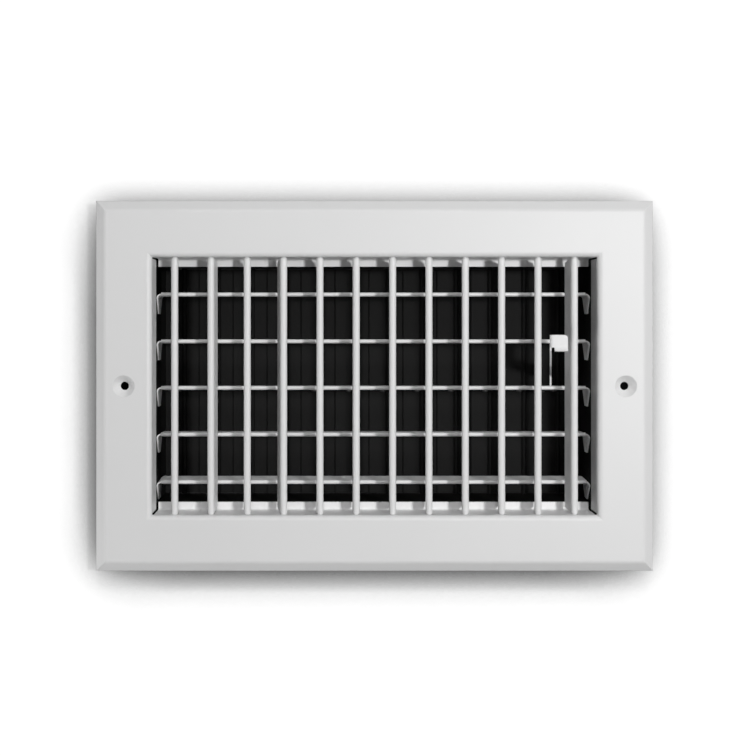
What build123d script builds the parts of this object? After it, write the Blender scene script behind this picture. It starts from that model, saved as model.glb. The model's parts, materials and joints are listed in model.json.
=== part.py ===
"""Wall vent register with twelve vertical front bars, five horizontal rear bars and a linked damper.

Millimetres. X runs to the right as seen from the room, Y into the wall and Z up. The origin lies on the
wall plane, midway between the two screw holes. Depths are given from the front of the face.
"""

import os
from math import cos, radians, sin

from build123d import *

# Face frame
FACE_WIDTH = 300.7
FACE_HEIGHT = 199.8
FLANGE_WIDTH = 30.5
FACE_SHEET = 0.8
FACE_STANDOFF = 4.4  # front of the face to the wall plane
RIM_BEVEL = 5.2  # width of the sloping rim, seen from the front
RIM_BEND = 3.0
LIP_BEND = 3.0
FLAP_DEPTH = 20.0
SIDE_FLAP_DEPTH = 17.0
LEDGE_HEIGHT = 4.3
LEDGE_BEND = 1.0
CORNER_GAP = 0.8  # open corner between two return flaps
SCREW_INSET = 15.55  # screw hole to the outer edge of the face
SCREW_HOLE = 4.5

# Pivots
PIN_CLEARANCE = 0.05  # radial play of a pivot in its hole
PIN_PROUD = 1.0  # how far a pivot stands out of its sheet

# Front bars, with the angles at which they were left: positive turns the trailing edge towards +X
FRONT_SIDE_ROOM = 11.775  # axis of an end bar to the side of the opening
FRONT_NOSE = 3.8
FRONT_TAIL = 1.0
FRONT_CHORD = 14.0
FRONT_DEPTH = 3.1  # face to nose
FRONT_PIN = 3.0
FRONT_END_GAP = 0.5
FRONT_TAIL_CUT = 2.4  # slant of a bar's end, back from its nose
FRONT_ANGLES = (0, 10, -11, -17, -7, -7, 2, -2, 3, 5, 4, -12)

# Rear bars, from the top down: a positive angle lifts the trailing edge
REAR_END_ROOM = 17.7  # end bar to the top or bottom of the opening, before the drop
REAR_DROP = 2.1  # middle of the set below the middle of the opening
REAR_NOSE = 2.2
REAR_CHORD = 16.0
REAR_DEPTH = 21.0  # face to nose
REAR_SHEET = 0.8
REAR_BEND = 2.5
REAR_PIN = 3.0
EAR_HEIGHT = 11.0
EAR_TIP = 6.0  # width of an ear's lower end
EAR_GAP = 0.4  # ear to the side plate
EAR_PIN_DROP = 7.0  # blade to pivot
REAR_ANGLES = (-1.5, 0, 0, 0, 4)

# Damper box: two rails and two side plates
BOX_SHEET = 0.8
BOX_BEND = 1.6
BOX_DEPTH = 68.0  # face to the rear edge
RAIL_INSET = 0.4  # rail behind the edge of its ledge
RAIL_FLANGE = 3.6
SIDE_FLANGE = 8.0
SIDE_OVERLAP = 16.0  # length of a side plate that lies on its flap
BEND_ROOM = 1.0  # room left round the inside of a bend

# Damper blades, closed
BLADE_COUNT = 12
BLADE_WIDTH = 22.0
BLADE_SHEET = 0.6
BLADE_ROD = 3.0
BLADE_DEPTH = 56.0  # face to the pivot rods
BLADE_ANGLE = 4.0  # lap of one blade over the next
BLADE_END_GAP = 0.3
BLADE_SIDE_GAP = 0.6  # end blade to side plate
NOTCH_PLAY = 0.6

# Damper link
CRANK_RADIUS = 5.0
CRANK_ANGLE = 40.0  # crank behind its forward position when closed
CRANK_EYE = 4.4
LINK_THICKNESS = 1.0
LINK_WIDTH = 4.4
LINK_HEIGHT = -4.5  # middle of the link, level with the middle rear bar
LINK_PLAY = 0.1
TONGUE_WIDTH = 8.0
RIVET = 2.0
RIVET_HEAD = 3.6
RIVET_HEAD_HEIGHT = 0.7

# Damper lever: a strip in an upright plane that leans to the left as it comes forward
LEVER_SHEET = 1.0
LEVER_OFFSET = 5.975  # axis of the last front bar but one to where the strip meets the face
LEVER_LEAN = 10.6
LEG_DEPTH = 40.3  # face to the front of the leg
LEG_WIDTH = 4.2
LEG_TOP = 10.0
ARM_WIDTH = 6.0
ARM_KNEE = (15.5, 16.5)  # depth and height where the arm turns up to the tab
ARM_BEND = 2.0
FOOT_LENGTH = 7.0
TAB_WIDTH = 9.8
TAB_HEIGHT = 8.6
TAB_TOP = 27.6
TAB_BEND = 1.6
TAB_CORNER = 2.0
TAB_PROUD = 0.6  # front of the tab ahead of the face
TAB_LIP = 1.8  # height of the lip along the lower edge of the tab
TAB_LIP_OUT = 0.9  # how far the lip stands forward
TAB_LIP_START = 2.6  # left end of the lip, from the corner of the tab

# Places that several pieces share
OPENING_WIDTH = FACE_WIDTH - 2 * FLANGE_WIDTH
OPENING_HEIGHT = FACE_HEIGHT - 2 * FLANGE_WIDTH
SCREW_SPACING = FACE_WIDTH - 2 * SCREW_INSET
FACE_Y = -FACE_STANDOFF
LIP_END_Y = FACE_Y + LIP_BEND
FLAP_END_Y = FACE_Y + FLAP_DEPTH
LEDGE_BACK_Y = FLAP_END_Y + FACE_SHEET
BOX_REAR_Y = FACE_Y + BOX_DEPTH
SIDE_X = OPENING_WIDTH / 2 + FACE_SHEET
RAIL_Z = OPENING_HEIGHT / 2 - LEDGE_HEIGHT + RAIL_INSET

FRONT_PIN_Y = FACE_Y + FRONT_DEPTH + FRONT_NOSE / 2
FRONT_PITCH = (OPENING_WIDTH - 2 * FRONT_SIDE_ROOM) / (len(FRONT_ANGLES) - 1)
FRONT_X = [(i - (len(FRONT_ANGLES) - 1) / 2) * FRONT_PITCH for i in range(len(FRONT_ANGLES))]
FRONT_HALF = OPENING_HEIGHT / 2 - FRONT_END_GAP

REAR_PIN_Y = FACE_Y + REAR_DEPTH + REAR_CHORD / 2
REAR_PITCH = (OPENING_HEIGHT - 2 * REAR_END_ROOM) / (len(REAR_ANGLES) - 1)
REAR_PIN_Z = [
    ((len(REAR_ANGLES) - 1) / 2 - i) * REAR_PITCH - REAR_DROP - EAR_PIN_DROP
    for i in range(len(REAR_ANGLES))
]
EAR_X = SIDE_X - EAR_GAP

BLADE_Y = FACE_Y + BLADE_DEPTH
BLADE_PITCH = (2 * (SIDE_X - BLADE_SIDE_GAP) - BLADE_WIDTH) / (BLADE_COUNT - 1)
BLADE_X = [(i - (BLADE_COUNT - 1) / 2) * BLADE_PITCH for i in range(BLADE_COUNT)]
CRANK_DX = -CRANK_RADIUS * sin(radians(CRANK_ANGLE))
CRANK_DY = -CRANK_RADIUS * cos(radians(CRANK_ANGLE))
CRANK_POINTS = [(x + CRANK_DX, BLADE_Y + CRANK_DY) for x in BLADE_X]
LINK_BOTTOM = LINK_HEIGHT - LINK_THICKNESS / 2
LINK_TOP = LINK_HEIGHT + LINK_THICKNESS / 2
EYE_BOTTOM = LINK_TOP + LINK_PLAY
EYE_TOP = EYE_BOTTOM + BLADE_SHEET

LEVER_X = FRONT_X[-2] + LEVER_OFFSET
LEVER_RISE = Vector(sin(radians(LEVER_LEAN)), cos(radians(LEVER_LEAN)), 0)
LEVER_PLANE = Plane(
    origin=(LEVER_X, FACE_Y, 0), x_dir=LEVER_RISE, z_dir=LEVER_RISE.cross(Vector(0, 0, 1))
)
LEG_FRONT_Y = FACE_Y + LEG_DEPTH
LEG_X = LEVER_X + (LEG_DEPTH + LEG_WIDTH / 2) * LEVER_RISE.X / LEVER_RISE.Y
FOOT_X = LEG_X - FOOT_LENGTH / 2
FOOT_Y = LEG_FRONT_Y + LEG_WIDTH / 2
FOOT_RIVETS = [(FOOT_X - RIVET_HEAD / 2, FOOT_Y)]


def in_frame(frame, plane):
    """A plane given in the coordinates of a frame."""
    return Plane(frame.location * plane.location)


def finish(piece, name):
    """Label a finished piece and write it."""
    piece.part.label = name
    export_step(piece.part, f"parts/{name}.step")


os.makedirs("parts", exist_ok=True)

# Face frame: rim, face and lip swept round the opening, then the flaps
rim_section = Plane(origin=(0, 0, -OPENING_HEIGHT / 2), x_dir=(0, 0, -1), z_dir=(1, 0, 0))
with BuildPart() as face_frame:
    with BuildLine(Plane.XZ) as opening_edge:
        Polyline(
            (0, -OPENING_HEIGHT / 2),
            (OPENING_WIDTH / 2, -OPENING_HEIGHT / 2),
            (OPENING_WIDTH / 2, OPENING_HEIGHT / 2),
            (-OPENING_WIDTH / 2, OPENING_HEIGHT / 2),
            (-OPENING_WIDTH / 2, -OPENING_HEIGHT / 2),
            close=True,
        )
    with BuildSketch(rim_section):
        with BuildLine():
            FilletPolyline(
                (FLANGE_WIDTH, 0),
                (FLANGE_WIDTH - RIM_BEVEL, FACE_Y),
                (0, FACE_Y),
                (0, LIP_END_Y),
                radius=(RIM_BEND, LIP_BEND - FACE_SHEET / 4),
            )
            offset(amount=FACE_SHEET, side=Side.RIGHT)
        make_face()
    sweep(path=opening_edge.wire(), transition=Transition.RIGHT)

    # Trim the rim's cut edge flat on the wall plane
    with BuildSketch(Plane.XZ):
        Rectangle(FACE_WIDTH + RIM_BEVEL, FACE_HEIGHT + RIM_BEVEL)
        Rectangle(SCREW_SPACING, OPENING_HEIGHT + FLANGE_WIDTH, mode=Mode.SUBTRACT)
    extrude(amount=-RIM_BEVEL, mode=Mode.SUBTRACT)

    # Top and bottom flaps end in a ledge that faces the room
    with BuildSketch(rim_section):
        with BuildLine():
            FilletPolyline(
                (0, LIP_END_Y),
                (0, FLAP_END_Y),
                (-LEDGE_HEIGHT, FLAP_END_Y),
                radius=LEDGE_BEND,
            )
            offset(amount=FACE_SHEET, side=Side.RIGHT)
        make_face()
    flap = extrude(amount=OPENING_WIDTH / 2 - CORNER_GAP, both=True)
    mirror(flap, about=Plane.XY)

    # Side flaps are plain, and end ahead of the rear bars
    with BuildSketch(Plane.XZ.offset(-LIP_END_Y)):
        with Locations((-SIDE_X + FACE_SHEET / 2, 0), (SIDE_X - FACE_SHEET / 2, 0)):
            Rectangle(FACE_SHEET, OPENING_HEIGHT - 2 * CORNER_GAP)
    extrude(amount=LIP_END_Y - FACE_Y - SIDE_FLAP_DEPTH)

    # Pivot holes of the front bars
    with BuildSketch(Plane.XY):
        with Locations(*[(x, FRONT_PIN_Y) for x in FRONT_X]):
            Circle(FRONT_PIN / 2 + PIN_CLEARANCE)
    extrude(amount=OPENING_HEIGHT / 2 + LIP_BEND, both=True, mode=Mode.SUBTRACT)

    # Screw dimples: drawn cones that bring the sheet back to the wall plane
    dimple_depth = FACE_STANDOFF - FACE_SHEET
    dimple_radius = SCREW_HOLE / 2 + dimple_depth
    for screw_x in (-SCREW_SPACING / 2, SCREW_SPACING / 2):
        with BuildSketch(Plane.XZ.offset(FACE_STANDOFF)):
            with Locations((screw_x, 0)):
                Circle(dimple_radius)
        extrude(amount=-FACE_SHEET, mode=Mode.SUBTRACT)
        with BuildSketch(Plane.XY):
            with BuildLine():
                Polyline(
                    (screw_x + dimple_radius, FACE_Y),
                    (screw_x + SCREW_HOLE / 2, FACE_Y + dimple_depth),
                    (screw_x + SCREW_HOLE / 2, 0),
                    (screw_x + dimple_radius, FACE_Y + FACE_SHEET),
                    close=True,
                )
            make_face()
        revolve(axis=Axis((screw_x, 0, 0), (0, 1, 0)))
finish(face_frame, "face_frame")

# Front bars: a teardrop section that turns about its nose, with a pivot at each end
for number, (bar_x, angle) in enumerate(zip(FRONT_X, FRONT_ANGLES), start=1):
    bar_frame = Plane((bar_x, FRONT_PIN_Y, 0)).rotated((0, 0, -angle))
    with BuildPart() as front_bar:
        with BuildSketch(bar_frame):
            Circle(FRONT_NOSE / 2)
            with Locations((0, FRONT_CHORD - (FRONT_NOSE + FRONT_TAIL) / 2)):
                Circle(FRONT_TAIL / 2)
            make_hull()
        extrude(amount=FRONT_HALF, both=True)
        with BuildSketch(in_frame(bar_frame, Plane.YZ)):
            for end in (FRONT_HALF, -FRONT_HALF):
                with BuildLine():
                    Polyline(
                        (FRONT_NOSE / 2, end),
                        (FRONT_CHORD, end),
                        (FRONT_CHORD, end * (1 - FRONT_TAIL_CUT / FRONT_HALF)),
                        close=True,
                    )
                make_face()
        extrude(amount=FRONT_NOSE, both=True, mode=Mode.SUBTRACT)
        with BuildSketch(bar_frame):
            Circle(FRONT_PIN / 2)
        extrude(amount=OPENING_HEIGHT / 2 + FACE_SHEET + PIN_PROUD, both=True)
    finish(front_bar, f"front_bar_{number:02d}")

# Rear bars: a strip folded down into an ear at each end, with a rolled nose between the ears
for number, (pin_z, angle) in enumerate(zip(REAR_PIN_Z, REAR_ANGLES), start=1):
    bar_frame = Plane((0, REAR_PIN_Y, pin_z)).rotated((angle, 0, 0))
    blade_top = EAR_PIN_DROP + REAR_SHEET / 2
    ear_bottom = blade_top - EAR_HEIGHT
    with BuildPart() as rear_bar:
        with BuildSketch(in_frame(bar_frame, Plane.XZ)):
            with BuildLine():
                FilletPolyline(
                    (-EAR_X, ear_bottom),
                    (-EAR_X, blade_top),
                    (EAR_X, blade_top),
                    (EAR_X, ear_bottom),
                    radius=REAR_BEND,
                )
                offset(amount=REAR_SHEET, side=Side.RIGHT)
            make_face()
        extrude(amount=REAR_CHORD / 2, both=True)

        # The ears taper to their lower ends
        with BuildSketch(in_frame(bar_frame, Plane.YZ)):
            with BuildLine():
                Polyline(
                    (REAR_CHORD / 2, blade_top - REAR_BEND),
                    (REAR_CHORD / 2, ear_bottom),
                    (EAR_TIP / 2, ear_bottom),
                    close=True,
                )
            make_face()
            mirror(about=Plane.YZ)
        extrude(amount=EAR_X, both=True, mode=Mode.SUBTRACT)

        with BuildSketch(in_frame(bar_frame, Plane.YZ)):
            with Locations((REAR_NOSE / 2 - REAR_CHORD / 2, EAR_PIN_DROP)):
                Circle(REAR_NOSE / 2)
        extrude(amount=EAR_X - REAR_BEND, both=True)

        for side in (-1, 1):
            with BuildSketch(in_frame(bar_frame, Plane.YZ.offset(side * EAR_X))):
                Circle(REAR_PIN / 2)
            extrude(amount=side * (SIDE_X + BOX_SHEET + PIN_PROUD - EAR_X))
    finish(rear_bar, f"rear_bar_{number}")

# Damper rails: channels spot-welded behind the ledges
with BuildPart() as rail_top:
    with BuildSketch(Plane.YZ):
        with BuildLine():
            FilletPolyline(
                (LEDGE_BACK_Y, RAIL_Z + RAIL_FLANGE),
                (LEDGE_BACK_Y, RAIL_Z),
                (BOX_REAR_Y, RAIL_Z),
                (BOX_REAR_Y, RAIL_Z + RAIL_FLANGE),
                radius=BOX_BEND,
            )
            offset(amount=BOX_SHEET, side=Side.LEFT)
        make_face()
    extrude(amount=SIDE_X - BEND_ROOM, both=True)
    with BuildSketch(Plane.XY):
        with Locations(*[(x, BLADE_Y) for x in BLADE_X]):
            Circle(BLADE_ROD / 2 + PIN_CLEARANCE)
    extrude(amount=OPENING_HEIGHT, mode=Mode.SUBTRACT)
finish(rail_top, "damper_rail_top")

with BuildPart() as rail_bottom:
    mirror(rail_top.part, about=Plane.XY)
finish(rail_bottom, "damper_rail_bottom")

# Side plates: they lie on the side flaps, fold over the rails and carry the rear bars
side_outer_x = SIDE_X + BOX_SHEET
side_outer_z = RAIL_Z + 2 * BOX_SHEET
side_fold_front_y = LEDGE_BACK_Y + BOX_SHEET + BEND_ROOM
side_fold_rear_y = BOX_REAR_Y - BOX_SHEET - BEND_ROOM
with BuildPart() as side_right:
    with BuildSketch(Plane.XZ.offset(-side_fold_front_y)):
        with BuildLine():
            FilletPolyline(
                (side_outer_x - SIDE_FLANGE, side_outer_z),
                (side_outer_x, side_outer_z),
                (side_outer_x, -side_outer_z),
                (side_outer_x - SIDE_FLANGE, -side_outer_z),
                radius=BOX_BEND,
            )
            offset(amount=BOX_SHEET, side=Side.RIGHT)
        make_face()
    extrude(amount=side_fold_front_y - side_fold_rear_y)
    with BuildSketch(Plane.YZ.offset(SIDE_X)):
        with Locations((FLAP_END_Y, 0)):
            Rectangle(
                BOX_REAR_Y - FLAP_END_Y,
                2 * (side_outer_z - BOX_BEND),
                align=(Align.MIN, Align.CENTER),
            )
            Rectangle(SIDE_OVERLAP, OPENING_HEIGHT + 2 * FACE_SHEET, align=(Align.MAX, Align.CENTER))
    extrude(amount=BOX_SHEET)
    with BuildSketch(Plane.YZ):
        with Locations(*[(REAR_PIN_Y, z) for z in REAR_PIN_Z]):
            Circle(REAR_PIN / 2 + PIN_CLEARANCE)
    extrude(amount=FACE_WIDTH, mode=Mode.SUBTRACT)
finish(side_right, "side_plate_right")

with BuildPart() as side_left:
    mirror(side_right.part, about=Plane.YZ)
finish(side_left, "side_plate_left")

# Damper blades: a sheet on a pivot rod, notched to pass the link, with a crank eye over the link
blade_half = RAIL_Z - BLADE_END_GAP
notch_inner = -CRANK_DY - LINK_WIDTH / 2 - NOTCH_PLAY
for number, blade_x in enumerate(BLADE_X, start=1):
    blade_frame = Plane((blade_x, BLADE_Y, 0)).rotated((0, 0, BLADE_ANGLE))
    with BuildPart() as damper_blade:
        with BuildSketch(blade_frame):
            Rectangle(BLADE_WIDTH, BLADE_SHEET)
            Circle(BLADE_ROD / 2)
        extrude(amount=blade_half, both=True)
        with BuildSketch(in_frame(blade_frame, Plane.XZ)):
            with Locations((-notch_inner, LINK_HEIGHT)):
                Rectangle(
                    BLADE_WIDTH / 2, LINK_THICKNESS + 2 * NOTCH_PLAY, align=(Align.MAX, Align.CENTER)
                )
        extrude(amount=BLADE_ROD, both=True, mode=Mode.SUBTRACT)
        with BuildSketch(Plane.XY):
            with Locations((blade_x, BLADE_Y)):
                Circle(BLADE_ROD / 2)
        extrude(amount=RAIL_Z + BOX_SHEET + PIN_PROUD, both=True)
        with BuildSketch(Plane.XY.offset(EYE_BOTTOM)):
            with Locations((blade_x, BLADE_Y)):
                Circle(BLADE_ROD / 2)
            with Locations((blade_x + CRANK_DX, BLADE_Y + CRANK_DY)):
                Circle(CRANK_EYE / 2)
            make_hull()
            with Locations((blade_x + CRANK_DX, BLADE_Y + CRANK_DY)):
                Circle(RIVET / 2 + PIN_CLEARANCE, mode=Mode.SUBTRACT)
        extrude(amount=BLADE_SHEET)
    finish(damper_blade, f"damper_blade_{number:02d}")

# Damper link: one flat strip through all the blades, with a tongue forward to the lever
link_y = BLADE_Y + CRANK_DY
with BuildPart() as damper_link:
    with BuildSketch(Plane.XY.offset(LINK_BOTTOM)):
        with Locations((CRANK_DX, link_y)):
            SlotCenterToCenter(BLADE_X[-1] - BLADE_X[0], LINK_WIDTH)
        with Locations((FOOT_X, LEG_FRONT_Y)):
            Rectangle(TONGUE_WIDTH, link_y - LEG_FRONT_Y, align=(Align.CENTER, Align.MIN))
        with Locations(*CRANK_POINTS, *FOOT_RIVETS):
            Circle(RIVET / 2, mode=Mode.SUBTRACT)
    extrude(amount=LINK_THICKNESS)
finish(damper_link, "damper_link")

with BuildPart() as link_rivets:
    with BuildSketch(Plane.XY.offset(LINK_BOTTOM)):
        with Locations(*CRANK_POINTS):
            Circle(RIVET / 2)
    extrude(amount=EYE_TOP + LINK_PLAY - LINK_BOTTOM)
    for head_bottom in (LINK_BOTTOM - RIVET_HEAD_HEIGHT, EYE_TOP + LINK_PLAY):
        with BuildSketch(Plane.XY.offset(head_bottom)):
            with Locations(*CRANK_POINTS):
                Circle(RIVET_HEAD / 2)
        extrude(amount=RIVET_HEAD_HEIGHT)
finish(link_rivets, "link_rivets")

# Damper lever: leg, arm and finger tab bent from one strip, with a foot on the link's tongue
leg_front = LEG_DEPTH / LEVER_RISE.Y
leg_rear = (LEG_DEPTH + LEG_WIDTH) / LEVER_RISE.Y
tab_bottom = TAB_TOP - TAB_HEIGHT
foot_top = LINK_TOP + LEVER_SHEET
with BuildPart() as damper_lever:
    with BuildSketch(LEVER_PLANE):
        with BuildLine():
            FilletPolyline(
                (leg_rear, LINK_TOP),
                (leg_rear, LEG_TOP),
                ARM_KNEE,
                (TAB_BEND, TAB_TOP),
                (TAB_BEND, tab_bottom),
                (ARM_KNEE[0] - ARM_WIDTH / 2, ARM_KNEE[1] - ARM_WIDTH),
                (leg_front, LEG_TOP - ARM_WIDTH),
                (leg_front, LINK_TOP),
                radius=(0, ARM_BEND, ARM_BEND, 0, 0, ARM_BEND, ARM_BEND, 0),
                close=True,
            )
        make_face()
    extrude(amount=LEVER_SHEET / 2, both=True)

    # The finger tab turns to the right, just ahead of the face
    tab_root = LEVER_PLANE.from_local_coords((2 * TAB_BEND, 0, -LEVER_SHEET / 2))
    tab_corner = tab_root - LEVER_RISE * ((tab_root.Y - FACE_Y + TAB_PROUD) / LEVER_RISE.Y)
    with BuildSketch(Plane.XY.offset(tab_bottom + TAB_LIP)):
        with BuildLine():
            FilletPolyline(
                (tab_root.X, tab_root.Y),
                (tab_corner.X, tab_corner.Y),
                (tab_corner.X + TAB_WIDTH, tab_corner.Y),
                radius=TAB_BEND,
            )
            offset(amount=LEVER_SHEET, side=Side.LEFT)
        make_face()
    extrude(amount=TAB_HEIGHT - TAB_LIP)
    with BuildSketch(Plane.YZ.offset(tab_corner.X + TAB_LIP_START)):
        with BuildLine():
            FilletPolyline(
                (tab_corner.Y, tab_bottom + 2 * TAB_LIP),
                (tab_corner.Y, tab_bottom + TAB_LIP),
                (tab_corner.Y - TAB_LIP_OUT, tab_bottom),
                radius=TAB_LIP / 2,
            )
            offset(amount=LEVER_SHEET, side=Side.LEFT)
        make_face()
    extrude(amount=TAB_WIDTH - TAB_LIP_START)
    fillet(damper_lever.edges().filter_by(Axis.Y).group_by(Axis.X)[-1].sort_by(Axis.Z)[-1], TAB_CORNER)

    with BuildSketch(Plane.XY.offset(LINK_TOP)):
        with Locations((LEG_X, FOOT_Y)):
            Rectangle(FOOT_LENGTH, LEG_WIDTH, align=(Align.MAX, Align.CENTER))
        with Locations(*FOOT_RIVETS):
            Circle(RIVET / 2, mode=Mode.SUBTRACT)
    extrude(amount=LEVER_SHEET)
finish(damper_lever, "damper_lever")

with BuildPart() as lever_rivet:
    with BuildSketch(Plane.XY.offset(LINK_BOTTOM)):
        with Locations(*FOOT_RIVETS):
            Circle(RIVET / 2)
    extrude(amount=foot_top - LINK_BOTTOM)
    for head_bottom in (LINK_BOTTOM - RIVET_HEAD_HEIGHT, foot_top):
        with BuildSketch(Plane.XY.offset(head_bottom)):
            with Locations(*FOOT_RIVETS):
                Circle(RIVET_HEAD / 2)
        extrude(amount=RIVET_HEAD_HEIGHT)
finish(lever_rivet, "lever_rivet")
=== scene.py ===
"""Studio scene of the wall vent register: enamelled sheet steel on a pale wall."""

import json
from collections import namedtuple
from math import radians

import bpy
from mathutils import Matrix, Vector

MM = 0.001  # the scene is in metres

# Camera: it looks straight into the wall from a little left of and above the middle of the face
IMAGE_SIZE = 756
PRINCIPAL_POINT = (330, 322)  # pixel straight ahead of the lens
FACE_CENTRE = (374.8, 386.3)  # pixel of the middle of the face
PIXEL = 0.5366 * MM  # size of a pixel at the front of the face
FACE_Y = -4.4 * MM
CAMERA_DISTANCE = 625 * MM
SENSOR = 36.0

# Stage: a wall behind the rim with an opening for the neck, a dark sheet behind the opening as painted shade in
# place of the unlit duct, and a floor
WALL_Y = 14 * MM
WALL_SIZE = 3.0
WALL_GREY = 0.60
WALL_LIT = 0.6  # share of its lit colour that the camera sees
WALL_GLOW = 0.84
OPENING_WIDTH = 288 * MM  # takes in the screw holes, which show dark
OPENING_HEIGHT = 160 * MM
# The dark sheet is painted shade: it stands for the unlit duct behind the opening and is shown only to
# background rays
SHADE_SHEET_Y = 80 * MM
SHADE_SHEET_WIDTH = 600 * MM
SHADE_SHEET_HEIGHT = 400 * MM
SHADE_SHEET_GREY = 0.005
FLOOR_Z = -0.42
FLOOR_SIZE = 8.0
FLOOR_GREY = 0.16
FLOOR_GLOW = 0.83

# Halo: painted shade of the part on the wall around it, from an occlusion node, not a cast shadow
HALO_REACH = 45 * MM
HALO_POWER = 2.8
HALO_LEAN = (0.20, -0.92, 0.33)  # the shade falls away from this side
HALO_SAMPLES = 16

# Lamps: round area lamps, in metres and watts, all aimed at the middle of the part
Lamp = namedtuple("Lamp", "place size watts")
LAMPS = {
    "key": Lamp(place=(0.53, -1.25, 0.12), size=0.14, watts=10.4),
    "top": Lamp(place=(0.0, -1.15, 0.95), size=0.3, watts=5.6),
    "rim": Lamp(place=(-0.75, -0.08, -0.38), size=0.3, watts=1.6),
    "rear": Lamp(place=(-0.9, 1.2, 0.05), size=1.0, watts=14.0),
}
WORLD_STRENGTH = 0.02
WORLD_SHOWN = 0.9  # strength that the camera and reflections see

# Paints: greys, gloss, and the size and strength of the orange peel
Paint = namedtuple("Paint", "dark light roughness specular peel_size peel_strength edge_radius")
PAINTS = {
    "white_enamel": Paint(
        dark=0.81,
        light=0.84,
        roughness=0.46,
        specular=0.5,
        peel_size=0.9 * MM,
        peel_strength=0.12,
        edge_radius=0.25 * MM,
    ),
    "black_enamel": Paint(
        dark=0.004,
        light=0.006,
        roughness=0.7,
        specular=0.16,
        peel_size=0.7 * MM,
        peel_strength=0.2,
        edge_radius=0.15 * MM,
    ),
}
DRIFT_SCALE = 14.0  # slow drift of colour and gloss over a piece
DRIFT_DETAIL = 3.0
GLOSS_SPREAD = 0.05
PEEL_DETAIL = 2.0
PEEL_HEIGHT = 0.1 * MM
BEVEL_SAMPLES = 4

# Dark steel of the rivets
STEEL_DARK = 0.08
STEEL_LIGHT = 0.13
STEEL_SMOOTH = 0.35
STEEL_ROUGH = 0.6
GRAIN_SCALE = 900.0
GRAIN_DETAIL = 2.0


def grey(value):
    """An opaque grey."""
    return (value, value, value, 1)


def new_material(name):
    """A new material with its nodes cleared, and its tree."""
    material = bpy.data.materials.new(name)
    material.use_nodes = True
    material.node_tree.nodes.clear()
    return material, material.node_tree


def add(tree, kind, sockets=None, **properties):
    """A shader node with some of its properties and sockets set."""
    node = tree.nodes.new(kind)
    for name, value in properties.items():
        setattr(node, name, value)
    for name, value in (sockets or {}).items():
        node.inputs[name].default_value = value
    return node


def noise(tree, scale, detail):
    """The value of a noise that stays with the object."""
    place = add(tree, "ShaderNodeTexCoord")
    cloud = add(tree, "ShaderNodeTexNoise", {"Scale": scale, "Detail": detail})
    tree.links.new(place.outputs["Object"], cloud.inputs["Vector"])
    return cloud.outputs["Fac"]


def principled(tree, sockets):
    """A principled shader that makes up the whole surface."""
    output = add(tree, "ShaderNodeOutputMaterial")
    shader = add(tree, "ShaderNodeBsdfPrincipled", sockets)
    tree.links.new(shader.outputs["BSDF"], output.inputs["Surface"])
    return shader


def vary(tree, shader, cloud, dark, light, smooth, rough):
    """Let a shader's grey and roughness follow a noise."""
    tint = add(tree, "ShaderNodeMix", {"A": grey(dark), "B": grey(light)}, data_type="RGBA")
    tree.links.new(cloud, tint.inputs["Factor"])
    tree.links.new(tint.outputs["Result"], shader.inputs["Base Color"])
    gloss = add(tree, "ShaderNodeMapRange", {"To Min": smooth, "To Max": rough})
    tree.links.new(cloud, gloss.inputs["Value"])
    tree.links.new(gloss.outputs["Result"], shader.inputs["Roughness"])


def sprayed_paint(name, finish):
    """Sprayed paint: orange peel, a slow drift of colour and gloss, and rounded edges."""
    material, tree = new_material(name)
    shader = principled(tree, {"Specular IOR Level": finish.specular})
    drift = noise(tree, DRIFT_SCALE, DRIFT_DETAIL)
    smooth, rough = finish.roughness - GLOSS_SPREAD, finish.roughness + GLOSS_SPREAD
    vary(tree, shader, drift, finish.dark, finish.light, smooth, rough)

    rounded = add(tree, "ShaderNodeBevel", {"Radius": finish.edge_radius}, samples=BEVEL_SAMPLES)
    peel = add(tree, "ShaderNodeBump", {"Strength": finish.peel_strength, "Distance": PEEL_HEIGHT})
    tree.links.new(noise(tree, 1.0 / finish.peel_size, PEEL_DETAIL), peel.inputs["Height"])
    tree.links.new(rounded.outputs["Normal"], peel.inputs["Normal"])
    tree.links.new(peel.outputs["Normal"], shader.inputs["Normal"])
    return material


def dark_steel(name):
    """Dull dark steel of a rivet, with a fine grain."""
    material, tree = new_material(name)
    shader = principled(tree, {"Metallic": 1.0})
    grain = noise(tree, GRAIN_SCALE, GRAIN_DETAIL)
    vary(tree, shader, grain, STEEL_DARK, STEEL_LIGHT, STEEL_SMOOTH, STEEL_ROUGH)
    return material


def larger(tree, first, second):
    """The larger of two values."""
    node = add(tree, "ShaderNodeMath", operation="MAXIMUM")
    tree.links.new(first, node.inputs[0])
    tree.links.new(second, node.inputs[1])
    return node.outputs["Value"]


def background_rays(tree):
    """1 for the rays that show the background: from the camera, off a gloss or through glass."""
    rays = add(tree, "ShaderNodeLightPath").outputs
    return larger(tree, larger(tree, rays["Is Camera Ray"], rays["Is Glossy Ray"]), rays["Is Transmission Ray"])


def halo(tree, power):
    """Painted shade around the part, as the share of the wall's shown colour that is left."""
    lean = add(tree, "ShaderNodeCombineXYZ", dict(zip("XYZ", HALO_LEAN)))
    near = add(tree, "ShaderNodeAmbientOcclusion", {"Distance": HALO_REACH}, samples=HALO_SAMPLES)
    tree.links.new(lean.outputs["Vector"], near.inputs["Normal"])
    shade = add(tree, "ShaderNodeMath", {1: power}, operation="POWER")
    tree.links.new(near.outputs["AO"], shade.inputs[0])
    return shade.outputs["Value"]


def choose(tree, share, first, second):
    """The first shader where the share is 0, and the second where it is 1."""
    node = add(tree, "ShaderNodeMixShader")
    tree.links.new(share, node.inputs["Fac"])
    tree.links.new(first, node.inputs[1])
    tree.links.new(second, node.inputs[2])
    return node.outputs["Shader"]


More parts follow.
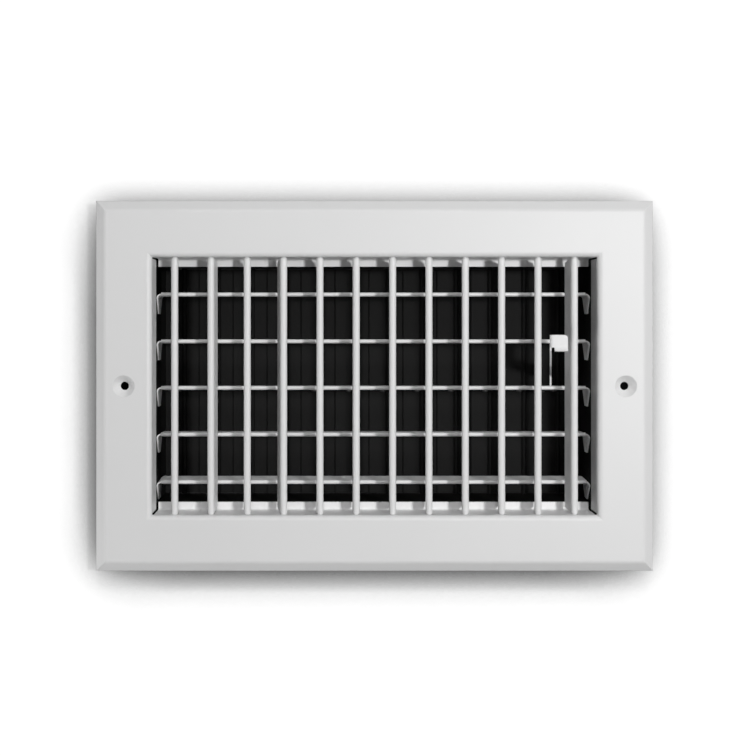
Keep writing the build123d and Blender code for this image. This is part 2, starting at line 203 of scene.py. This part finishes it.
def stage_surface(name, shade, lit=1.0, glow=0.0, halo_power=0.0, shown_only=False):
    """A surface seen only from its front, which casts no shadow.

    As a background it shows its lit share and an even glow, both dimmed by the painted shade of the halo.
    To other rays it is plain grey, or clear where it is shown only.
    """
    material, tree = new_material(name)
    link = tree.links.new
    clear = add(tree, "ShaderNodeBsdfTransparent").outputs["BSDF"]
    plain = add(tree, "ShaderNodeBsdfDiffuse", {"Color": grey(shade)}).outputs["BSDF"]

    # Painted shade: the occlusion halo darkens the wall's shown colour and glow near the part
    dimming = halo(tree, halo_power)
    dimmed = add(tree, "ShaderNodeVectorMath", {"Vector": grey(lit * shade)[:3]}, operation="SCALE")
    link(dimming, dimmed.inputs["Scale"])
    lit_share = add(tree, "ShaderNodeBsdfDiffuse")
    link(dimmed.outputs["Vector"], lit_share.inputs["Color"])
    even_glow = add(tree, "ShaderNodeEmission", {"Color": grey(glow)})
    link(dimming, even_glow.inputs["Strength"])
    background = add(tree, "ShaderNodeAddShader")
    link(lit_share.outputs["BSDF"], background.inputs[0])
    link(even_glow.outputs["Emission"], background.inputs[1])

    front = choose(tree, background_rays(tree), clear if shown_only else plain, background.outputs["Shader"])
    behind = add(tree, "ShaderNodeNewGeometry").outputs["Backfacing"]
    shadow = add(tree, "ShaderNodeLightPath").outputs["Is Shadow Ray"]
    output = add(tree, "ShaderNodeOutputMaterial")
    link(choose(tree, larger(tree, behind, shadow), front, clear), output.inputs["Surface"])
    return material


def stage_mesh(name, points, faces, material):
    """A stage object from points, faces and a material."""
    mesh = bpy.data.meshes.new(name)
    mesh.from_pydata(points, [], faces)
    mesh.materials.append(material)
    piece = bpy.data.objects.new(name, mesh)
    bpy.context.scene.collection.objects.link(piece)


def rectangle(width, height, y):
    """Corners of an upright rectangle, anticlockwise as seen from the room."""
    x, z = width / 2, height / 2
    return [(-x, y, -z), (x, y, -z), (x, y, z), (-x, y, z)]


def build_stage():
    """A pale wall with an opening, a dark sheet behind the opening that paints the shade of the duct, and a
    pale floor.
    """
    wall = stage_surface("stage_wall", WALL_GREY, WALL_LIT, WALL_GLOW, HALO_POWER)
    points = rectangle(WALL_SIZE, WALL_SIZE, WALL_Y) + rectangle(OPENING_WIDTH, OPENING_HEIGHT, WALL_Y)
    strips = [(i, (i + 1) % 4, 4 + (i + 1) % 4, 4 + i) for i in range(4)]
    stage_mesh("stage_wall", points, strips, wall)

    # Painted shade: a near-black sheet, shown only to background rays, stands in for the shade inside the duct
    sheet = stage_surface("stage_shade_sheet", SHADE_SHEET_GREY, shown_only=True)
    stage_mesh("stage_shade_sheet", rectangle(SHADE_SHEET_WIDTH, SHADE_SHEET_HEIGHT, SHADE_SHEET_Y), [(0, 1, 2, 3)], sheet)

    floor = stage_surface("stage_floor", FLOOR_GREY, lit=0.0, glow=FLOOR_GLOW)
    half = FLOOR_SIZE / 2
    points = [(-half, -half, FLOOR_Z), (half, -half, FLOOR_Z), (half, half, FLOOR_Z), (-half, half, FLOOR_Z)]
    stage_mesh("stage_floor", points, [(0, 1, 2, 3)], floor)


def build_lamps():
    """The lamps, each turned towards the origin."""
    for name, lamp in LAMPS.items():
        light = bpy.data.lights.new(name, "AREA")
        light.shape = "DISK"
        light.size = lamp.size
        light.energy = lamp.watts
        light_object = bpy.data.objects.new(name, light)
        light_object.location = lamp.place
        light_object.rotation_euler = (-Vector(lamp.place)).to_track_quat("-Z", "Y").to_euler()
        bpy.context.scene.collection.objects.link(light_object)


def build_world():
    """A white world that lights the part very little."""
    world = bpy.data.worlds.new("studio")
    world.use_nodes = True
    tree = world.node_tree
    background = tree.nodes["Background"]
    background.inputs["Color"].default_value = grey(1)
    strength = add(tree, "ShaderNodeMapRange", {"To Min": WORLD_STRENGTH, "To Max": WORLD_SHOWN})
    tree.links.new(background_rays(tree), strength.inputs["Value"])
    tree.links.new(strength.outputs["Result"], background.inputs["Strength"])
    bpy.context.scene.world = world


def build_camera():
    """The camera, square to the wall and shifted to frame the face as the photograph does."""
    camera = bpy.data.cameras.new("camera")
    camera.sensor_width = SENSOR
    camera.lens = SENSOR * CAMERA_DISTANCE / (IMAGE_SIZE * PIXEL)
    middle = IMAGE_SIZE / 2
    camera.shift_x = (middle - PRINCIPAL_POINT[0]) / IMAGE_SIZE
    camera.shift_y = (PRINCIPAL_POINT[1] - middle) / IMAGE_SIZE
    camera_object = bpy.data.objects.new("camera", camera)
    camera_object.location = (
        (PRINCIPAL_POINT[0] - FACE_CENTRE[0]) * PIXEL,
        FACE_Y - CAMERA_DISTANCE,
        (FACE_CENTRE[1] - PRINCIPAL_POINT[1]) * PIXEL,
    )
    camera_object.rotation_euler = (radians(90), 0, 0)
    bpy.context.scene.collection.objects.link(camera_object)
    bpy.context.scene.camera = camera_object


def dress(frame):
    """Give each node the finish of its slot."""
    finishes = {name: sprayed_paint(name, finish) for name, finish in PAINTS.items()}
    finishes["rivet_steel"] = dark_steel("rivet_steel")
    for part in frame["record"]["subparts"]:
        mesh = frame["nodes"][part["node"]].data
        mesh.materials.clear()
        mesh.materials.append(finishes[part["material_slot"]])


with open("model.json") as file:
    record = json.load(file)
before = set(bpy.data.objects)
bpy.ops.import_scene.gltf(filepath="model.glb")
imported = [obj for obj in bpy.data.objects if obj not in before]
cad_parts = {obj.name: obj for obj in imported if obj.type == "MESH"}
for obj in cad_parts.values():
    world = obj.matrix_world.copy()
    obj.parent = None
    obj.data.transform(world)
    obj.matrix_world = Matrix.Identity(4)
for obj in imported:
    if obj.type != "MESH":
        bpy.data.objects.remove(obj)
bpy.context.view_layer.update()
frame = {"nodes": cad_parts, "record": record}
bpy.context.scene.view_settings.view_transform = "Standard"
dress(frame)
build_stage()
build_lamps()
build_world()
build_camera()
